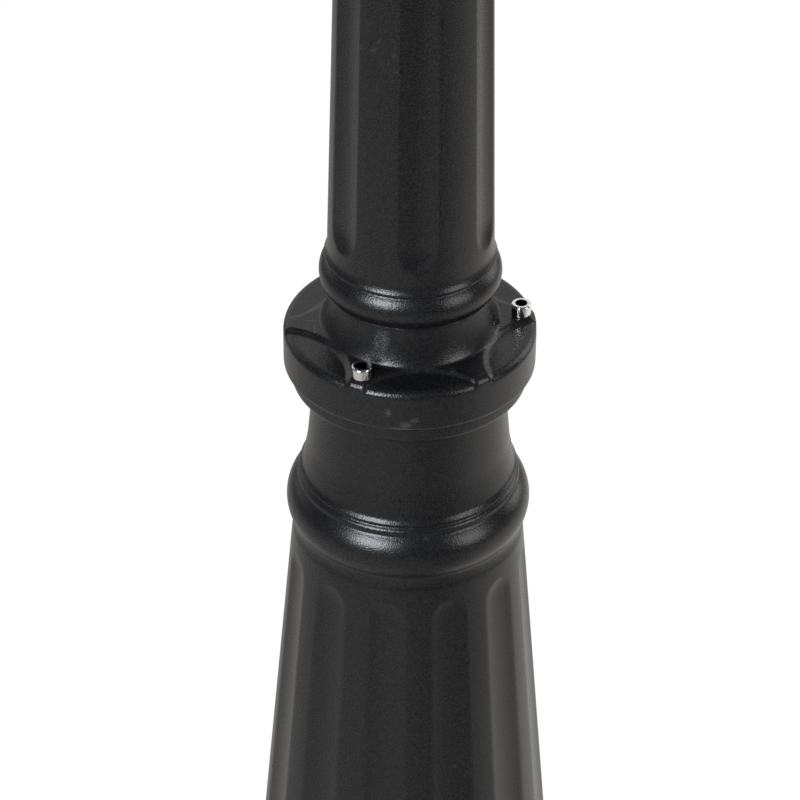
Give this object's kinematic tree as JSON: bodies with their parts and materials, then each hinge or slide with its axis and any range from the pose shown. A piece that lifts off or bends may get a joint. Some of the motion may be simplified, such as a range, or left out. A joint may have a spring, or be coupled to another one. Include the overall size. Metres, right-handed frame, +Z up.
{
  "type": "lamp post",
  "caption": "Garden lamp post: fluted cast base and tapered fluted shaft joined by a scalloped collar, with a swivelling hub, swan-neck arms and hexagonal lanterns with hinged roofs.",
  "frame": {"origin": "centre of the foot's flat underside, on the ground", "axes": "+Z up along the shaft; -Y towards the viewer, along the first arm; +X to the viewer's right"},
  "size_m": [0.7802, 0.6901, 2.1397],
  "materials": {
    "black_coat": "satin black powder coat on cast aluminium, fine orange peel",
    "polished_steel": "polished stainless steel",
    "dark_steel": "blackened steel, oiled",
    "galvanised": "galvanised sheet",
    "brass": "turned brass, slightly dulled",
    "clear_glass": "clear float glass",
    "opal_lamp": "opal lamp globe",
    "porcelain": "glazed porcelain",
    "black_rubber": "matt rubber",
    "white_plastic": "moulded nylon",
    "grey_sheath": "smooth cable sheath"
  },
  "bodies": {
    "post": {"base_casting": "black_coat", "collar_gasket": "black_rubber", "collar": "black_coat", "collar_cap_screws": "polished_steel", "shaft": "black_coat", "capital": "black_coat", "gear_tray": "galvanised", "terminal_block": "white_plastic", "cable_clamp": "white_plastic", "earth_stud": "brass", "main_lead": "grey_sheath", "hub_washer": "white_plastic"},
    "head": {"hub": "black_coat", "hub_set_screws": "dark_steel", "centre_finial": "black_coat", "arm_grub_screws": "dark_steel", "splice_box": "white_plastic", "arm_leads": "grey_sheath", "arm_1": "black_coat", "arm_2": "black_coat", "arm_3": "black_coat", "lantern_1_gallery": "black_coat", "lantern_1_cage": "black_coat", "lantern_1_panes": "clear_glass", "lantern_1_lamp_holder": "porcelain", "lantern_1_lamp": "opal_lamp", "lantern_1_hinge_pin": "dark_steel", "lantern_2_gallery": "black_coat", "lantern_2_cage": "black_coat", "lantern_2_panes": "clear_glass", "lantern_2_lamp_holder": "porcelain", "lantern_2_lamp": "opal_lamp", "lantern_2_hinge_pin": "dark_steel", "lantern_3_gallery": "black_coat", "lantern_3_cage": "black_coat", "lantern_3_panes": "clear_glass", "lantern_3_lamp_holder": "porcelain", "lantern_3_lamp": "opal_lamp", "lantern_3_hinge_pin": "dark_steel"},
    "roof_1": {"lantern_1_roof": "black_coat", "lantern_1_vent_cap": "black_coat", "lantern_1_finial": "black_coat"},
    "thumb_screw_1": {"lantern_1_thumb_screw": "brass"},
    "roof_2": {"lantern_2_roof": "black_coat", "lantern_2_vent_cap": "black_coat", "lantern_2_finial": "black_coat"},
    "thumb_screw_2": {"lantern_2_thumb_screw": "brass"},
    "roof_3": {"lantern_3_roof": "black_coat", "lantern_3_vent_cap": "black_coat", "lantern_3_finial": "black_coat"},
    "thumb_screw_3": {"lantern_3_thumb_screw": "brass"}
  },
  "joints": [
    {"name": "head_swivel", "type": "hinge", "parent": "post", "child": "head", "pos_m": [0, 0, 1.5592], "axis": [0, 0, 1], "range_deg": [-180, 180]},
    {"name": "roof_hinge_1", "type": "hinge", "parent": "head", "child": "roof_1", "pos_m": [0, -0.21664, 1.96135], "axis": [-1, 0, 0], "range_deg": [0, 95]},
    {"name": "thumb_screw_turn_1", "type": "hinge", "parent": "roof_1", "child": "thumb_screw_1", "pos_m": [0, -0.41786, 1.95635], "axis": [0, -1, 0], "continuous": true},
    {"name": "roof_hinge_2", "type": "hinge", "parent": "head", "child": "roof_2", "pos_m": [0.18762, 0.10832, 1.96135], "axis": [0.5, -0.866, 0], "range_deg": [0, 95]},
    {"name": "thumb_screw_turn_2", "type": "hinge", "parent": "roof_2", "child": "thumb_screw_2", "pos_m": [0.36188, 0.20893, 1.95635], "axis": [0.866, 0.5, 0], "continuous": true},
    {"name": "roof_hinge_3", "type": "hinge", "parent": "head", "child": "roof_3", "pos_m": [-0.18762, 0.10832, 1.96135], "axis": [0.5, 0.866, 0], "range_deg": [0, 95]},
    {"name": "thumb_screw_turn_3", "type": "hinge", "parent": "roof_3", "child": "thumb_screw_3", "pos_m": [-0.36188, 0.20893, 1.95635], "axis": [-0.866, 0.5, 0], "continuous": true}
  ]
}
